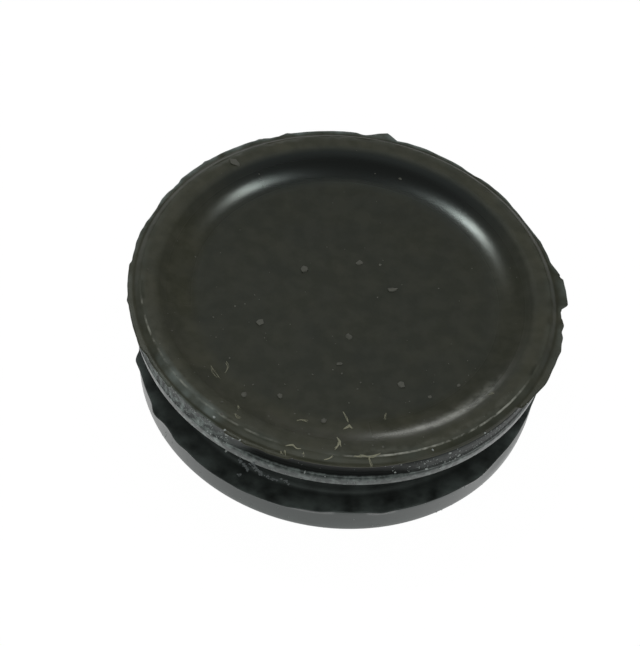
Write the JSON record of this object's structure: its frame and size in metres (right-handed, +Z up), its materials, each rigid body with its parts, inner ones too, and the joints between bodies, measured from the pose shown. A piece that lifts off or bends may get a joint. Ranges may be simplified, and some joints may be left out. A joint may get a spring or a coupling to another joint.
{
  "type": "bolt cover",
  "caption": "Round push-in rubber cover with a dished head, a groove that grips the edge of a panel's hole, a lip below it and an open pocket that clears a bolt's head.",
  "frame": {"origin": "centre of the base, on the plane that the lip stands on", "axes": "+Z up along the cover's axis, from the lip to the dished head; -Y faces the viewer of the picture"},
  "size_m": [0.0306, 0.0305, 0.0091],
  "materials": {
    "rubber": "satin black moulded rubber, dusty"
  },
  "bodies": {
    "root": {"bolt_cover": "rubber"}
  },
  "joints": []
}
